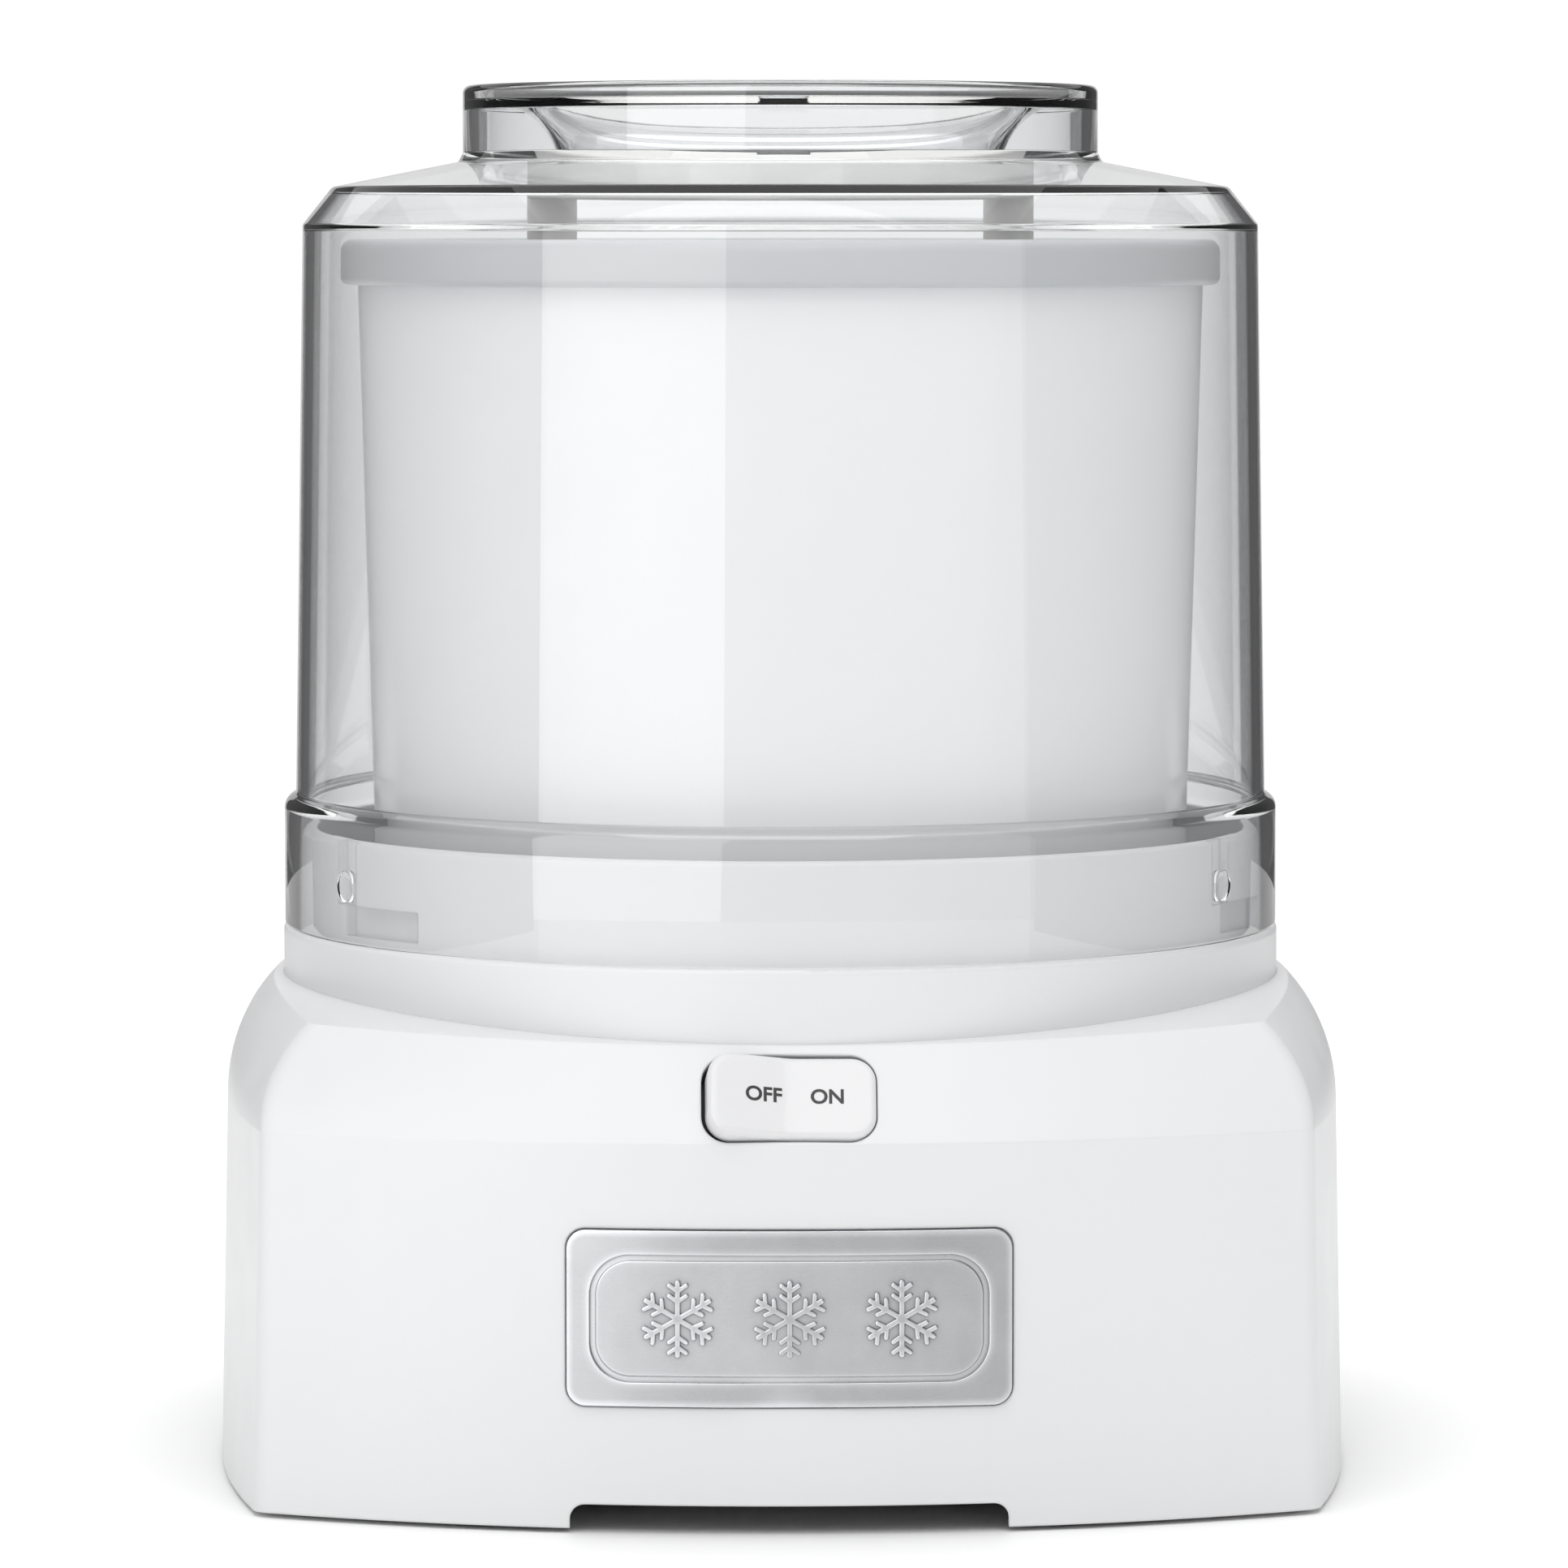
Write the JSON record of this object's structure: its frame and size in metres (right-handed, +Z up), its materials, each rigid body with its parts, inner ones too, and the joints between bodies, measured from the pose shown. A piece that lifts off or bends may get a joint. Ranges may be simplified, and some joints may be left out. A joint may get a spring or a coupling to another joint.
{
  "type": "ice cream maker",
  "caption": "Counter-top ice cream maker: square motor base with a rocker switch and badge plate, lift-out freezer bowl, stationary paddle and tall clear lid with an open spout.",
  "frame": {"origin": "centre of the base on the surface that the feet stand on, on the bowl's axis", "axes": "+Z up along the bowl and turntable axis, -Y towards the front with the switch and badge, +X to the right seen from the front"},
  "size_m": [0.235, 0.2361, 0.2855],
  "materials": {
    "housing_white": "glossy moulded white plastic with a very fine texture",
    "cover_white": "moulded white plastic, fine matt texture",
    "rocker_white": "polished white plastic",
    "badge_metal": "satin metal with a bright polished edge",
    "clear_lid": "crystal-clear moulded plastic",
    "bowl_white": "smooth white plastic",
    "bowl_liner": "drawn aluminium, fine turned lines",
    "coolant": "sealed coolant gel",
    "rim_grey": "pale grey satin plastic",
    "paddle_white": "smooth white plastic",
    "rubber": "matt rubber",
    "steel": "turned steel",
    "zinc": "zinc plated",
    "lamination_steel": "stacked laminations with dark oxide",
    "copper": "enamelled copper wire",
    "brass_tab": "plain brass",
    "bronze": "sintered bronze",
    "gear_nylon": "natural acetal",
    "case_grey": "glass-filled nylon",
    "switch_black": "black phenolic",
    "bobbin_plastic": "natural nylon",
    "lead_insulation": "flexible insulation"
  },
  "bodies": {
    "base": {"base_housing": "housing_white", "bowl_well": "housing_white", "bottom_cover": "cover_white", "rubber_feet": "rubber", "cover_screws": "zinc", "badge_plate": "badge_metal", "cord_gland": "switch_black", "switch_body": "switch_black", "switch_terminals": "brass_tab", "internal_leads": "lead_insulation", "gearbox_case": "case_grey", "gearbox_plate": "case_grey", "gearbox_screws": "zinc", "gear_axles": "steel", "output_bushes": "bronze", "motor_stator": "lamination_steel", "shading_rings": "copper", "motor_bobbin": "bobbin_plastic", "motor_winding": "copper", "upper_motor_bracket": "steel", "lower_motor_bracket": "steel", "motor_bushes": "bronze", "motor_screws": "zinc"},
    "switch_rocker": {"rocker": "rocker_white"},
    "turntable": {"drive_coupler": "case_grey", "output_shaft": "steel", "output_gear": "gear_nylon", "coupler_clip": "steel"},
    "second_stage": {"second_gear": "gear_nylon"},
    "first_stage": {"first_gear": "gear_nylon"},
    "rotor": {"rotor_core": "lamination_steel", "motor_shaft": "steel", "motor_pinion": "brass_tab", "cooling_fan": "case_grey"},
    "bowl": {"bowl_shell": "bowl_white", "bowl_liner": "bowl_liner", "bowl_coolant": "coolant", "bowl_rim": "rim_grey", "bowl_drive_plate": "cover_white"},
    "paddle": {"mixing_paddle": "paddle_white"},
    "lid": {"lid": "clear_lid", "lid_spout": "clear_lid"}
  },
  "joints": [
    {"name": "bowl_spin", "type": "hinge", "parent": "base", "child": "turntable", "pos_m": [0, 0, 0.0876], "axis": [0, 0, 1], "continuous": true},
    {"name": "second_spin", "type": "hinge", "parent": "base", "child": "second_stage", "pos_m": [-0.05196, 0.03, 0.06], "axis": [0, 0, 1], "continuous": true},
    {"name": "first_spin", "type": "hinge", "parent": "base", "child": "first_stage", "pos_m": [-0.03009, 0.06789, 0.055], "axis": [0, 0, 1], "continuous": true},
    {"name": "rotor_spin", "type": "hinge", "parent": "base", "child": "rotor", "pos_m": [0.00537, 0.06164, 0.032], "axis": [0, 0, 1], "continuous": true},
    {"name": "lid_lift", "type": "slide", "parent": "base", "child": "lid", "axis": [0, 0, 1], "range_m": [0, 0.4]},
    {"name": "paddle_lift", "type": "slide", "parent": "base", "child": "paddle", "axis": [0, 0, 1], "range_m": [0, 0.24]},
    {"name": "bowl_lift", "type": "slide", "parent": "turntable", "child": "bowl", "axis": [0, 0, 1], "range_m": [0, 0.084]},
    {"name": "switch_rock", "type": "hinge", "parent": "base", "child": "switch_rocker", "pos_m": [0, -0.10833, 0.08402], "axis": [0, -0.4939, -0.8695], "range_deg": [0, 14]}
  ],
  "couplings": [
    {"joint": "second_spin", "follows": "bowl_spin", "ratio": -4},
    {"joint": "first_spin", "follows": "bowl_spin", "ratio": 16},
    {"joint": "rotor_spin", "follows": "bowl_spin", "ratio": -80},
    {"joint": "paddle_lift", "follows": "lid_lift", "ratio": 0.6},
    {"joint": "bowl_lift", "follows": "lid_lift", "ratio": 0.21}
  ]
}
